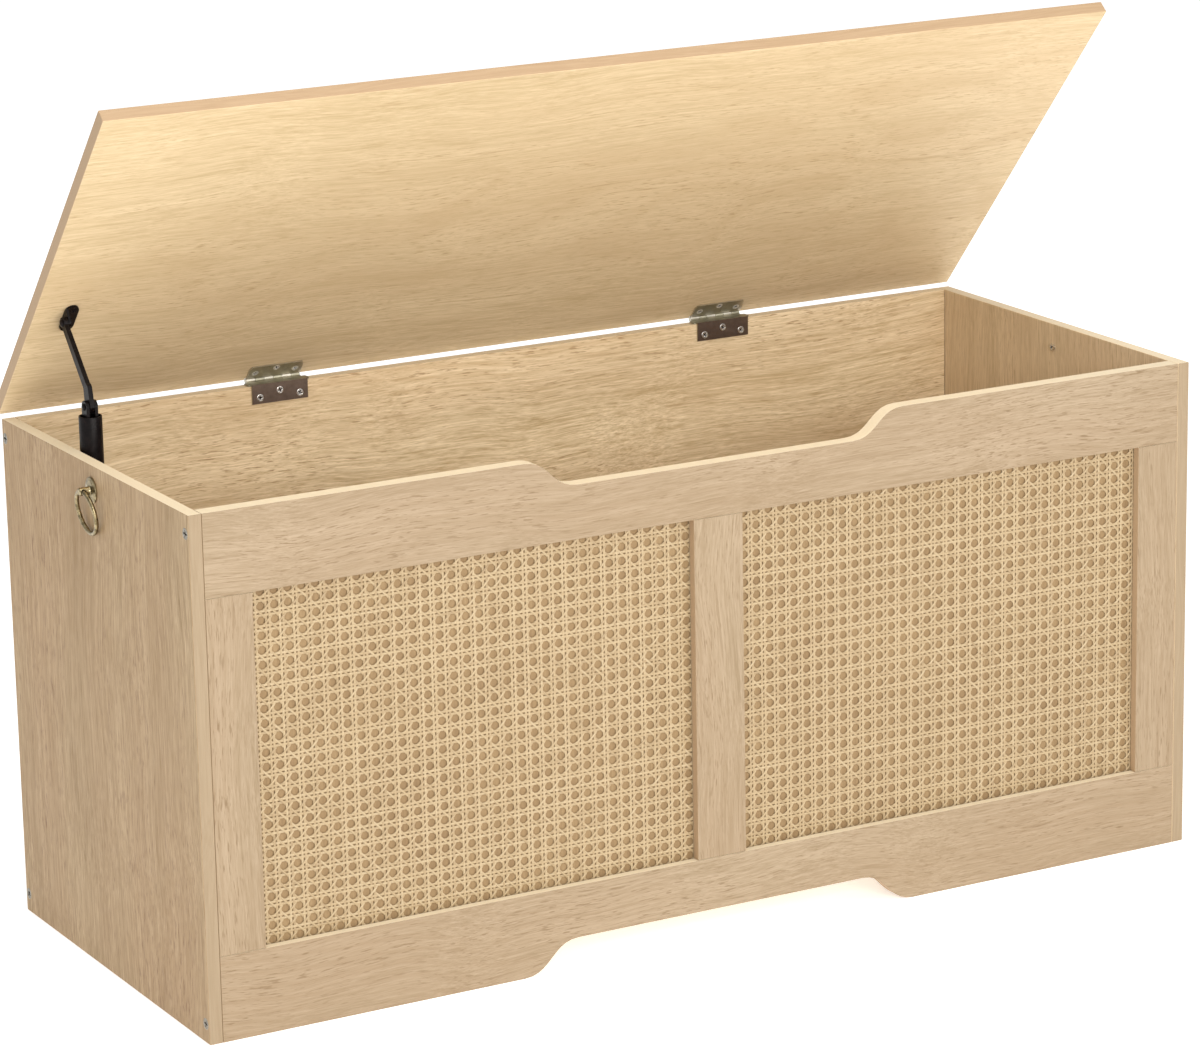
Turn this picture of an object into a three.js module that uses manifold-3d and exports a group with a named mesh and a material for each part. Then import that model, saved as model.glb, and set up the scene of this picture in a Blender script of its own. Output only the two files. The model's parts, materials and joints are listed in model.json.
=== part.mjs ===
// Wooden toy box with a cane front, a hinged lid held by a sliding stay, and two ring pulls.
// Millimetres, +Z up, +X along the length, the front faces -Y. The box stands on z = 0.
// The lid is modelled open, at LID_OPEN degrees from closed.

import * as THREE from 'three';
import { mergeVertices } from 'three/addons/utils/BufferGeometryUtils.js';
import Module from 'manifold-3d';

const wasm = await Module();
wasm.setup();

// ---- driving dimensions -------------------------------------------------------------------

const LENGTH = 1000;
const DEPTH = 400;
const HEIGHT = 460;
const BOARD = 12;
const FRONT_BOARD = 15;
const GAP = 0.3;

const TOP_RAIL = 73;
const BOTTOM_RAIL = 76;
const END_STILE = 43;
const CENTRE_STILE = 49;
const NOTCH = { outer: 190, inner: 138, rise: 25 };
const RECESS = { outer: 200, inner: 146, rise: 28 };

const REBATE_LAP = 8;
const CANE_SETBACK = 8;
const CANE_THICK = 1.6;

const FLOOR_UNDERSIDE = 34;

const LID_OPEN = 48.5;
const LID_OVERHANG = 1;
const LID_LIFT = 1;

const HINGE_SPACING = 468;
const HINGE = { barrelRadius: 2.6, pinRadius: 1.4, boreRadius: 1.7, knuckle: 9, knuckles: 6, plate: 1.2 };
const BOX_LEAF = { width: 56, drop: 18, earWidth: 62, earDepth: 10 };
const LID_LEAF = { reach: 20, chamfer: 4 };

const HINGE_SCREW = { head: 3.3, shank: 1.5, length: 10.5, taper: 1.8, recess: 2.1, slot: 0.8, sides: 8 };
const CORNER_SCREW = { head: 5, shank: 2.3, length: 44, taper: 3, recess: 3, slot: 1.3, sides: 12 };
const STAY_SCREW = { head: 3.6, shank: 1.6, length: 11, taper: 2, recess: 2.2, slot: 0.9, sides: 8 };
const CORNER_SCREW_INSET = 17;

const STAY = {
  fromWall: 12.5,
  fromFront: 255,
  rodRadius: 8.6,
  rodBottom: 134,
  rodTop: 338,
  sleeveInner: 9,
  sleeveOuter: 10.2,
  sleeveBottom: 313,
  sleeveTop: 489,
  pinHeight: 497,
  pinRadius: 2.2,
};
const ARM = { thick: 4.2, heelRadius: 6, heelRise: 15, bar: 7.6, toeRadius: 5 };
const LID_PIN = { along: 140.4, below: 9 };

const PULL = {
  belowRim: 22,
  plateRadius: 11.5,
  plateThick: 2.2,
  postRadius: 3.6,
  postLength: 12.4,
  eye: 9,
  eyeRadius: 2.5,
  ringRadius: 19,
  wireRadius: 2,
  lean: 9.5,
};

// ---- derived places -----------------------------------------------------------------------

const INNER_X = LENGTH / 2 - BOARD;
const BACK_Y = DEPTH - BOARD;
const HINGE_Y = DEPTH + HINGE.barrelRadius + 0.4;
const HINGE_Z = HEIGHT + 2.4;
const OPEN_ANGLE = THREE.MathUtils.degToRad(LID_OPEN);
const PANE_BOTTOM = BOTTOM_RAIL;
const PANE_TOP = HEIGHT - TOP_RAIL;
const PANE_INNER = CENTRE_STILE / 2;
const PANE_OUTER = INNER_X - END_STILE;
const STAY_X = -INNER_X + STAY.fromWall;

// The open lid's rear top edge is the rearmost point, and the front face is the foremost.
const REARMOST = HINGE_Y + (LID_LIFT + BOARD) * Math.sin(OPEN_ANGLE);

// ---- materials ----------------------------------------------------------------------------

function finish(color, roughness, metalness) {
  return new THREE.MeshStandardMaterial({ color, roughness, metalness });
}

const OAK = finish(0xd2b68c, 0.55, 0);
const CANE = finish(0xe6cf9f, 0.6, 0);
const BACKING = finish(0xc49a63, 0.7, 0);
const STEEL = finish(0x8d8478, 0.35, 1);
const SCREW_STEEL = finish(0xa8a298, 0.3, 1);
const BLACK_METAL = finish(0x1c1819, 0.4, 0.6);
const ANTIQUE_BRASS = finish(0x7d6b43, 0.35, 1);

// ---- solids: closed shapes as manifolds, so that they can be cut and joined -------------------

function solid(geometry) {
  const bare = geometry.index ? geometry.toNonIndexed() : geometry.clone();
  bare.deleteAttribute('normal');
  bare.deleteAttribute('uv');
  const merged = mergeVertices(bare, 1e-5);
  const mesh = new wasm.Mesh({
    numProp: 3,
    vertProperties: new Float32Array(merged.attributes.position.array),
    triVerts: new Uint32Array(merged.index.array),
  });
  return new wasm.Manifold(mesh);
}

function block(low, high) {
  const size = low.map((v, i) => high[i] - v);
  const geometry = new THREE.BoxGeometry(...size);
  geometry.translate(...low.map((v, i) => v + size[i] / 2));
  return solid(geometry);
}

// An outline swept by `thick`. The plane names the outline's two axes; it is swept along the third.
const BASES = {
  xy: [[1, 0, 0], [0, 1, 0], [0, 0, 1]],
  yz: [[0, 1, 0], [0, 0, 1], [1, 0, 0]],
  zx: [[0, 0, 1], [1, 0, 0], [0, 1, 0]],
};

function basis(plane) {
  const axes = BASES[plane].map((axis) => new THREE.Vector3(...axis));
  return new THREE.Matrix4().makeBasis(...axes);
}

function sweep(outline, plane, start, thick, curveSegments = 5) {
  const geometry = new THREE.ExtrudeGeometry(outline, { depth: thick, bevelEnabled: false, curveSegments });
  geometry.translate(0, 0, start);
  geometry.applyMatrix4(basis(plane));
  return solid(geometry);
}

// A turned shape: profile points are [radius, distance along the axis], from axis to axis.
function turned(profile, centre, direction, sides) {
  const points = profile.map(([radius, along]) => new THREE.Vector2(radius, along));
  const geometry = new THREE.LatheGeometry(points, sides);
  const turn = new THREE.Quaternion().setFromUnitVectors(
    new THREE.Vector3(0, 1, 0),
    new THREE.Vector3(...direction),
  );
  geometry.applyQuaternion(turn);
  geometry.translate(...centre);
  return solid(geometry);
}

function rod(radius, length, centre, direction, sides = 16) {
  return turned([[0, 0], [radius, 0], [radius, length], [0, length]], centre, direction, sides);
}

function joined(solids) {
  return solids.reduce((whole, next) => whole.add(next));
}

function cut(body, cutters) {
  return cutters.reduce((rest, cutter) => rest.subtract(cutter), body);
}

function meshOf(name, body, material) {
  const { vertProperties, triVerts } = body.getMesh();
  const geometry = new THREE.BufferGeometry();
  geometry.setAttribute('position', new THREE.BufferAttribute(vertProperties, 3));
  geometry.setIndex(new THREE.BufferAttribute(triVerts, 1));
  geometry.computeVertexNormals();
  const mesh = new THREE.Mesh(geometry, material);
  mesh.name = name;
  return mesh;
}

// ---- screws -------------------------------------------------------------------------------

// A countersunk screw, or with `grow` above zero the hole it sits in.
// `face` is the centre of its flat head, and `out` points away from the board.
function screwBody(spec, face, out, grow) {
  const slope = (spec.head - spec.shank) / spec.taper;
  const profile = [
    [0, -spec.length - grow],
    [spec.shank + grow, -spec.length + spec.shank],
    [spec.shank + grow, -spec.taper - grow / 2],
    [spec.head + grow + slope * grow, grow],
    [0, grow],
  ];
  return turned(profile, face, out, spec.sides);
}

function crossOutline(reach, half) {
  const corners = [
    [reach, -half], [reach, half], [half, half], [half, reach], [-half, reach], [-half, half],
    [-reach, half], [-reach, -half], [-half, -half], [-half, -reach], [half, -reach], [half, -half],
  ];
  return new THREE.Shape(corners.map((corner) => new THREE.Vector2(...corner)));
}

function screw(spec, face, out) {
  const depth = spec.taper * 0.45;
  const geometry = new THREE.ExtrudeGeometry(crossOutline(spec.recess, spec.slot / 2), {
    depth: 2 * depth,
    bevelEnabled: false,
  });
  geometry.translate(0, 0, -depth);
  const along = new THREE.Vector3(...out);
  geometry.applyQuaternion(new THREE.Quaternion().setFromUnitVectors(new THREE.Vector3(0, 0, 1), along));
  geometry.translate(...face);
  return cut(screwBody(spec, face, out, 0), [solid(geometry)]);
}

function screwHole(spec, face, out) {
  return screwBody(spec, face, out, GAP);
}

// ---- front frame --------------------------------------------------------------------------

// An S-shaped ramp from the outline's current point to (x, z), level at both ends.
function ramp(outline, x, z) {
  const from = outline.currentPoint;
  const middle = (from.x + x) / 2;
  outline.bezierCurveTo(middle, from.y, middle, z, x, z);
}

function topRailOutline() {
  const end = INNER_X - GAP;
  const outline = new THREE.Shape();
  outline.moveTo(-end, PANE_TOP);
  outline.lineTo(end, PANE_TOP);
  outline.lineTo(end, HEIGHT);
  outline.lineTo(NOTCH.outer, HEIGHT);
  ramp(outline, NOTCH.inner, HEIGHT - NOTCH.rise);
  outline.lineTo(-NOTCH.inner, HEIGHT - NOTCH.rise);
  ramp(outline, -NOTCH.outer, HEIGHT);
  outline.lineTo(-end, HEIGHT);
  outline.closePath();
  return outline;
}

function bottomRailOutline() {
  const end = INNER_X - GAP;
  const outline = new THREE.Shape();
  outline.moveTo(-end, 0);
  outline.lineTo(-RECESS.outer, 0);
  ramp(outline, -RECESS.inner, RECESS.rise);
  outline.lineTo(RECESS.inner, RECESS.rise);
  ramp(outline, RECESS.outer, 0);
  outline.lineTo(end, 0);
  outline.lineTo(end, BOTTOM_RAIL);
  outline.lineTo(-end, BOTTOM_RAIL);
  outline.closePath();
  return outline;
}

// The front's outlines are drawn in x and z, and swept back from the front face at y = 0.
function frontBoard(outline) {
  const geometry = new THREE.ExtrudeGeometry(outline, {
    depth: FRONT_BOARD,
    bevelEnabled: false,
    curveSegments: 10,
  });
  geometry.rotateX(Math.PI / 2);
  geometry.translate(0, FRONT_BOARD, 0);
  return solid(geometry);
}

const PANES = [
  { side: 'left', from: -PANE_OUTER, to: -PANE_INNER },
  { side: 'right', from: PANE_INNER, to: PANE_OUTER },
];

function paneBlock(pane, lap, near, far) {
  return block([pane.from - lap, near, PANE_BOTTOM - lap], [pane.to + lap, far, PANE_TOP + lap]);
}

function frontFrame(cornerHoles) {
  const rebates = PANES.map((pane) => paneBlock(pane, REBATE_LAP, CANE_SETBACK, FRONT_BOARD + 1));
  const stile = (from, to) => {
    const low = [from, 0, PANE_BOTTOM + GAP];
    return cut(block(low, [to, FRONT_BOARD, PANE_TOP - GAP]), rebates);
  };
  const end = INNER_X - GAP;
  const cuts = [...rebates, ...cornerHoles];
  return [
    meshOf('front_top_rail', cut(frontBoard(topRailOutline()), cuts), OAK),
    meshOf('front_bottom_rail', cut(frontBoard(bottomRailOutline()), cuts), OAK),
    meshOf('front_left_stile', stile(-end, -PANE_OUTER), OAK),
    meshOf('front_centre_stile', stile(-PANE_INNER, PANE_INNER), OAK),
    meshOf('front_right_stile', stile(PANE_OUTER, end), OAK),
  ];
}

function panes() {
  const lap = REBATE_LAP - GAP;
  const caneFront = CANE_SETBACK + GAP;
  const caneBack = caneFront + CANE_THICK;
  return PANES.flatMap((pane) => [
    meshOf(`${pane.side}_cane_panel`, paneBlock(pane, lap, caneFront, caneBack), CANE),
    meshOf(`${pane.side}_backing_board`, paneBlock(pane, lap, caneBack + GAP, FRONT_BOARD - GAP), BACKING),
  ]);
}

// ---- carcase ------------------------------------------------------------------------------

// Two screws into the front frame and two into the back panel, at each side.
function cornerScrewFaces(side) {
  const x = (side * LENGTH) / 2;
  const heights = [CORNER_SCREW_INSET, HEIGHT - CORNER_SCREW_INSET];
  return [FRONT_BOARD / 2, DEPTH - BOARD / 2].flatMap((y) => heights.map((z) => [x, y, z]));
}

function carcase(backHoles, wallHoles) {
  const holeInto = (side) => (face) => screwHole(CORNER_SCREW, face, [side, 0, 0]);
  const holesAt = (side) => cornerScrewFaces(side).map(holeInto(side));
  const cornerHoles = [...holesAt(-1), ...holesAt(1)];
  const end = INNER_X - GAP;
  const sidePanel = (name, side) => {
    const xs = [side * INNER_X, (side * LENGTH) / 2].sort((a, b) => a - b);
    const board = block([xs[0], 0, 0], [xs[1], DEPTH, HEIGHT]);
    return meshOf(name, cut(board, [...cornerHoles, ...wallHoles]), OAK);
  };
  const back = block([-end, BACK_Y, 0], [end, DEPTH, HEIGHT]);
  const floorBoard = block(
    [-end, FRONT_BOARD + GAP, FLOOR_UNDERSIDE],
    [end, BACK_Y - GAP, FLOOR_UNDERSIDE + BOARD],
  );
  const screws = [-1, 1].flatMap((side) =>
    cornerScrewFaces(side).map((face, index) => {
      const place = ['front_bottom', 'front_top', 'back_bottom', 'back_top'][index];
      const name = `${side < 0 ? 'left' : 'right'}_screw_${place}`;
      return meshOf(name, screw(CORNER_SCREW, face, [side, 0, 0]), SCREW_STEEL);
    }),
  );
  return [
    sidePanel('left_side_panel', -1),
    sidePanel('right_side_panel', 1),
    meshOf('back_panel', cut(back, [...cornerHoles, ...backHoles]), OAK),
    meshOf('floor_panel', floorBoard, OAK),
    ...frontFrame(cornerHoles),
    ...panes(),
    ...screws,
  ];
}

// ---- hinges -------------------------------------------------------------------------------

const HINGE_WIDTH = HINGE.knuckle * HINGE.knuckles;

// Knuckles alternate along the barrel: even ones belong to the lid leaf, odd ones to the box leaf.
function knuckleSpan(centreX, index) {
  const from = centreX - HINGE_WIDTH / 2 + index * HINGE.knuckle;
  return [from, from + HINGE.knuckle];
}

function knuckles(centreX, y, z, parity) {
  const indices = [0, 1, 2, 3, 4, 5].filter((index) => index % 2 === parity);
  return indices.map((index) => {
    const [from, to] = knuckleSpan(centreX, index);
    return rod(HINGE.barrelRadius, to - from - GAP, [from + GAP / 2, y, z], [1, 0, 0], 14);
  });
}

// The room the other leaf's knuckles need, cut from a leaf's flat.
function knuckleRoom(centreX, y, z, parity) {
  const reach = HINGE.barrelRadius + 0.4;
  const indices = [0, 1, 2, 3, 4, 5].filter((index) => index % 2 === parity);
  return indices.map((index) => {
    const [from, to] = knuckleSpan(centreX, index);
    return block([from - GAP / 2, y - reach, z - reach], [to + GAP / 2, y + reach, z + reach]);
  });
}

function hingeBore(centreX, y, z) {
  return rod(HINGE.boreRadius, HINGE_WIDTH + 2, [centreX - HINGE_WIDTH / 2 - 1, y, z], [1, 0, 0], 8);
}

function boxLeafScrewFaces(centreX) {
  const y = BACK_Y - GAP - HINGE.plate;
  return [-20, 0, 20].map((x) => [centreX + x, y, HEIGHT - (x === 0 ? 6 : 11)]);
}

function lidLeafScrewFaces(centreX) {
  const z = LID_LIFT - GAP - HINGE.plate;
  return [-20, 0, 20].map((x) => [centreX + x, x === 0 ? -15.5 : -10.5, z]);
}

function boxLeaf(name, centreX) {
  const bottom = HEIGHT + GAP;
  const bend = BACK_Y - GAP - HINGE.plate;
  const half = BOX_LEAF.width / 2;
  const top = bottom + HINGE.plate;
  const lowCorner = [centreX - half, bend, top - BOX_LEAF.drop];
  const plate = block(lowCorner, [centreX + half, bend + HINGE.plate, top]);
  const strip = new THREE.Shape();
  const ear = BOX_LEAF.earWidth / 2;
  const rear = BACK_Y + BOX_LEAF.earDepth;
  strip.moveTo(centreX - half, bend);
  strip.lineTo(centreX + half, bend);
  strip.lineTo(centreX + half, BACK_Y + 1);
  strip.lineTo(centreX + ear - 2, BACK_Y + 1);
  strip.quadraticCurveTo(centreX + ear, BACK_Y + 1, centreX + ear, BACK_Y + 3);
  strip.lineTo(centreX + ear, rear - 2);
  strip.quadraticCurveTo(centreX + ear, rear, centreX + ear - 2, rear);
  strip.lineTo(centreX + HINGE_WIDTH / 2, rear);
  strip.lineTo(centreX + HINGE_WIDTH / 2, HINGE_Y);
  strip.lineTo(centreX - HINGE_WIDTH / 2, HINGE_Y);
  strip.lineTo(centreX - HINGE_WIDTH / 2, rear);
  strip.lineTo(centreX - ear + 2, rear);
  strip.quadraticCurveTo(centreX - ear, rear, centreX - ear, rear - 2);
  strip.lineTo(centreX - ear, BACK_Y + 3);
  strip.quadraticCurveTo(centreX - ear, BACK_Y + 1, centreX - ear + 2, BACK_Y + 1);
  strip.lineTo(centreX - half, BACK_Y + 1);
  strip.closePath();
  const flat = sweep(strip, 'xy', bottom, HINGE.plate, 3);
  const clearance = knuckleRoom(centreX, HINGE_Y, HINGE_Z, 0);
  const barrel = knuckles(centreX, HINGE_Y, HINGE_Z, 1);
  const bore = hingeBore(centreX, HINGE_Y, HINGE_Z);
  const holes = boxLeafScrewFaces(centreX).map((face) => screwHole(HINGE_SCREW, face, [0, -1, 0]));
  const body = joined([plate, cut(flat, clearance), ...barrel]);
  return meshOf(name, cut(body, [bore, ...holes]), STEEL);
}

function lidLeaf(name, centreX) {
  const half = HINGE_WIDTH / 2;
  const outline = new THREE.Shape();
  outline.moveTo(centreX - half, 0);
  outline.lineTo(centreX - half, -LID_LEAF.reach + LID_LEAF.chamfer);
  outline.lineTo(centreX - half + LID_LEAF.chamfer / 2, -LID_LEAF.reach);
  outline.lineTo(centreX + half - LID_LEAF.chamfer / 2, -LID_LEAF.reach);
  outline.lineTo(centreX + half, -LID_LEAF.reach + LID_LEAF.chamfer);
  outline.lineTo(centreX + half, 0);
  outline.closePath();
  const flat = sweep(outline, 'xy', LID_LIFT - GAP - HINGE.plate, HINGE.plate);
  const clearance = knuckleRoom(centreX, 0, 0, 1);
  const barrel = knuckles(centreX, 0, 0, 0);
  const bore = hingeBore(centreX, 0, 0);
  const holes = lidLeafScrewFaces(centreX).map((face) => screwHole(HINGE_SCREW, face, [0, 0, -1]));
  const body = joined([cut(flat, clearance), ...barrel]);
  return meshOf(name, cut(body, [bore, ...holes]), STEEL);
}

function hingePin(name, centreX) {
  const start = [centreX - HINGE_WIDTH / 2, HINGE_Y, HINGE_Z];
  return meshOf(name, rod(HINGE.pinRadius, HINGE_WIDTH, start, [1, 0, 0], 8), STEEL);
}

const HINGES = [
  { side: 'left', x: -HINGE_SPACING / 2 },
  { side: 'right', x: HINGE_SPACING / 2 },
];

const PLACES = ['left', 'middle', 'right'];

function fixedHingeParts() {
  return HINGES.flatMap(({ side, x }) => [
    boxLeaf(`${side}_hinge_box_leaf`, x),
    hingePin(`${side}_hinge_pin`, x),
    ...boxLeafScrewFaces(x).map((face, index) =>
      meshOf(`${side}_hinge_box_screw_${PLACES[index]}`, screw(HINGE_SCREW, face, [0, -1, 0]), SCREW_STEEL),
    ),
  ]);
}

function lidHingeParts() {
  return HINGES.flatMap(({ side, x }) => [
    lidLeaf(`${side}_hinge_lid_leaf`, x),
    ...lidLeafScrewFaces(x).map((face, index) =>
      meshOf(`${side}_hinge_lid_screw_${PLACES[index]}`, screw(HINGE_SCREW, face, [0, 0, -1]), SCREW_STEEL),
    ),
  ]);
}

// ---- lid stay -----------------------------------------------------------------------------

// A sleeve slides on a guide rod fixed to the left side panel. A bent arm links its fork to the lid.

const COLLAR = { bottom: 140, height: 20, radius: 12, plate: 2, plateHalfWidth: 14, plateHalfHeight: 27 };

function wallScrewFaces() {
  const x = -INNER_X + GAP + COLLAR.plate;
  const middle = COLLAR.bottom + COLLAR.height / 2;
  return [-20, 20].map((z) => [x, STAY.fromFront, middle + z]);
}

function wallBracket() {
  const middle = COLLAR.bottom + COLLAR.height / 2;
  const wall = -INNER_X + GAP;
  const plate = block(
    [wall, STAY.fromFront - COLLAR.plateHalfWidth, middle - COLLAR.plateHalfHeight],
    [wall + COLLAR.plate, STAY.fromFront + COLLAR.plateHalfWidth, middle + COLLAR.plateHalfHeight],
  );
  const collar = rod(COLLAR.radius, COLLAR.height, [STAY_X, STAY.fromFront, COLLAR.bottom], [0, 0, 1], 24);
  const below = [STAY_X, STAY.fromFront, COLLAR.bottom - 5];
  const bore = rod(STAY.rodRadius + GAP, 2 * COLLAR.height, below, [0, 0, 1], 24);
  const holes = wallScrewFaces().map((face) => screwHole(STAY_SCREW, face, [1, 0, 0]));
  return meshOf('stay_wall_bracket', cut(joined([plate, collar]), [bore, ...holes]), BLACK_METAL);
}

function guideRod() {
  const height = STAY.rodTop - STAY.rodBottom;
  const profile = [
    [0, 0],
    [STAY.rodRadius, 0],
    [STAY.rodRadius, height - 1],
    [STAY.rodRadius - 1, height],
    [0, height],
  ];
  const body = turned(profile, [STAY_X, STAY.fromFront, STAY.rodBottom], [0, 0, 1], 24);
  return meshOf('stay_guide_rod', body, BLACK_METAL);
}

function sleeve() {
  const height = STAY.sleeveTop - STAY.sleeveBottom;
  const foot = [STAY_X, STAY.fromFront, STAY.sleeveBottom];
  const outer = rod(STAY.sleeveOuter, height, foot, [0, 0, 1], 32);
  const inner = rod(STAY.sleeveInner, height + 2, [foot[0], foot[1], foot[2] - 1], [0, 0, 1], 32);
  return meshOf('stay_sleeve', cut(outer, [inner]), BLACK_METAL);
}

const FORK = { plug: 14, belowRim: 5, slot: 4.8, earThick: 3, earRadius: 5.6 };

function fork() {
  const plugTop = STAY.sleeveTop - FORK.belowRim;
  const radius = STAY.sleeveInner - GAP;
  const plug = rod(radius, FORK.plug, [STAY_X, STAY.fromFront, plugTop - FORK.plug], [0, 0, 1], 24);
  const ear = new THREE.Shape();
  ear.moveTo(STAY.fromFront - FORK.earRadius, plugTop - 1);
  ear.lineTo(STAY.fromFront + FORK.earRadius, plugTop - 1);
  ear.lineTo(STAY.fromFront + FORK.earRadius, STAY.pinHeight);
  ear.absarc(STAY.fromFront, STAY.pinHeight, FORK.earRadius, 0, Math.PI, false);
  ear.closePath();
  const ears = [-1, 1].map((side) => {
    const inner = STAY_X + (side * FORK.slot) / 2;
    const outer = inner + side * FORK.earThick;
    return sweep(ear, 'yz', Math.min(inner, outer), FORK.earThick);
  });
  const hole = rod(STAY.pinRadius + GAP, 24, [STAY_X - 12, STAY.fromFront, STAY.pinHeight], [1, 0, 0], 12);
  return meshOf('stay_fork', cut(joined([plug, ...ears]), [hole]), BLACK_METAL);
}

// A headed pin along X, symmetric about the fork.
function forkPin() {
  const ears = FORK.slot / 2 + FORK.earThick + GAP;
  const tip = ears + 1.4;
  const profile = [
    [0, -tip],
    [2.6, -tip],
    [3.2, -ears],
    [STAY.pinRadius, -ears],
    [STAY.pinRadius, ears],
    [3.2, ears],
    [2.6, tip],
    [0, tip],
  ];
  const body = turned(profile, [STAY_X, STAY.fromFront, STAY.pinHeight], [1, 0, 0], 14);
  return meshOf('stay_fork_pin', body, SCREW_STEEL);
}

// Where a point of the closed lid, given from the hinge axis, lies when the lid is open.
function openLidPoint(along, up) {
  return new THREE.Vector2(
    HINGE_Y + along * Math.cos(OPEN_ANGLE) + up * Math.sin(OPEN_ANGLE),
    HINGE_Z - along * Math.sin(OPEN_ANGLE) + up * Math.cos(OPEN_ANGLE),
  );
}

const ARM_HEEL = new THREE.Vector2(STAY.fromFront, STAY.pinHeight);
const ARM_TOE = openLidPoint(-LID_PIN.along, -LID_PIN.below);

// A link with a round end at each of two points, tapering between their radii.
function link(from, to, fromRadius, toRadius) {
  const axis = Math.atan2(to.y - from.y, to.x - from.x);
  const outline = new THREE.Shape();
  outline.absarc(from.x, from.y, fromRadius, axis + Math.PI / 2, axis - Math.PI / 2, false);
  outline.absarc(to.x, to.y, toRadius, axis - Math.PI / 2, axis + Math.PI / 2, false);
  outline.closePath();
  return sweep(outline, 'yz', STAY_X - ARM.thick / 2, ARM.thick);
}

function arm() {
  const knee = new THREE.Vector2(ARM_HEEL.x + 2.5, ARM_HEEL.y + ARM.heelRise);
  const heel = link(ARM_HEEL, knee, ARM.heelRadius, ARM.heelRadius * 0.85);
  const bar = link(knee, ARM_TOE, ARM.bar / 2, ARM.bar / 2 - 0.4);
  const toe = rod(ARM.toeRadius, ARM.thick, [STAY_X - ARM.thick / 2, ARM_TOE.x, ARM_TOE.y], [1, 0, 0], 20);
  const hole = ({ x, y }) => rod(STAY.pinRadius + GAP, 12, [STAY_X - 6, x, y], [1, 0, 0], 12);
  return meshOf('stay_arm', cut(joined([heel, bar, toe]), [hole(ARM_HEEL), hole(ARM_TOE)]), BLACK_METAL);
}

// The rivet turns with the arm. Its head is on the arm's wall side.
function armRivet() {
  const half = ARM.thick / 2;
  const profile = [
    [0, -half - GAP - 1.6],
    [2.8, -half - GAP - 1.6],
    [3.6, -half - GAP],
    [STAY.pinRadius, -half - GAP],
    [STAY.pinRadius, half],
    [0, half],
  ];
  const body = turned(profile, [STAY_X, ARM_TOE.x, ARM_TOE.y], [1, 0, 0], 14);
  return meshOf('stay_arm_rivet', body, SCREW_STEEL);
}

const LID_BRACKET = { plate: 2, width: 13, halfLength: 17, ear: 2, behindPin: 6 };

function lidBracketScrewFaces() {
  const x = STAY_X + ARM.thick / 2 + GAP + 8;
  const z = LID_LIFT - GAP - LID_BRACKET.plate;
  const middle = -LID_PIN.along + LID_BRACKET.behindPin;
  return [-11, 11].map((along) => [x, middle + along, z]);
}

// In the lid's own frame: y runs from the hinge axis towards the front as negative, z is up.
function lidBracket() {
  const inner = STAY_X + ARM.thick / 2 + GAP;
  const top = LID_LIFT - GAP;
  const round = LID_BRACKET.width / 2;
  const flat = new THREE.Shape();
  const middle = -LID_PIN.along + LID_BRACKET.behindPin;
  const near = middle + LID_BRACKET.halfLength - round;
  const far = middle - LID_BRACKET.halfLength + round;
  flat.moveTo(inner, far);
  flat.absarc(inner + round, far, round, Math.PI, 2 * Math.PI, false);
  flat.absarc(inner + round, near, round, 0, Math.PI, false);
  flat.closePath();
  const plate = sweep(flat, 'xy', top - LID_BRACKET.plate, LID_BRACKET.plate);
  const ear = new THREE.Shape();
  ear.moveTo(-LID_PIN.along + 9, top - 1);
  ear.lineTo(-LID_PIN.along - 9, top - 1);
  ear.lineTo(-LID_PIN.along - ARM.toeRadius, -LID_PIN.below);
  ear.absarc(-LID_PIN.along, -LID_PIN.below, ARM.toeRadius, Math.PI, 2 * Math.PI, false);
  ear.closePath();
  const side = sweep(ear, 'yz', inner, LID_BRACKET.ear);
  const boss = rod(3.2, LID_BRACKET.ear + 1.2, [inner, -LID_PIN.along, -LID_PIN.below], [1, 0, 0], 14);
  const holes = lidBracketScrewFaces().map((face) => screwHole(STAY_SCREW, face, [0, 0, -1]));
  return meshOf('stay_lid_bracket', cut(joined([plate, side, boss]), holes), BLACK_METAL);
}

function fixedStayParts() {
  const screws = wallScrewFaces().map((face, index) =>
    meshOf(`stay_wall_screw_${['lower', 'upper'][index]}`, screw(STAY_SCREW, face, [1, 0, 0]), SCREW_STEEL),
  );
  return [wallBracket(), guideRod(), ...screws];
}

function movingStayParts() {
  return [sleeve(), fork(), forkPin(), arm(), armRivet()];
}

function lidStayParts() {
  const screws = lidBracketScrewFaces().map((face, index) =>
    meshOf(`stay_lid_screw_${['front', 'rear'][index]}`, screw(STAY_SCREW, face, [0, 0, -1]), SCREW_STEEL),
  );
  return [lidBracket(), ...screws];
}

// ---- lid ----------------------------------------------------------------------------------

// The lid's rear edge ends over the hinge axis, with a shallow rebate over each hinge barrel.
function lid() {
  const half = LENGTH / 2 + LID_OVERHANG;
  const down = [0, 0, -1];
  const hingeFaces = HINGES.flatMap(({ x }) => lidLeafScrewFaces(x));
  const holes = [
    ...hingeFaces.map((face) => screwHole(HINGE_SCREW, face, down)),
    ...lidBracketScrewFaces().map((face) => screwHole(STAY_SCREW, face, down)),
  ];
  const room = HINGE.barrelRadius + 0.6;
  const rebates = HINGES.map(({ x }) =>
    block([x - HINGE_WIDTH / 2 - 1, -room, 0], [x + HINGE_WIDTH / 2 + 1, 1, room]),
  );
  const board = block([-half, -HINGE_Y, LID_LIFT], [half, 0, LID_LIFT + BOARD]);
  const group = new THREE.Group();
  const panel = meshOf('lid_panel', cut(board, [...holes, ...rebates]), OAK);
  group.add(panel, ...lidHingeParts(), ...lidStayParts());
  group.position.set(0, HINGE_Y, HINGE_Z);
  group.rotation.x = -OPEN_ANGLE;
  return group;
}

// ---- ring pulls ---------------------------------------------------------------------------

// Built with +X pointing away from the side panel's outer face, and the post's axis at y = z = 0.

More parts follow.
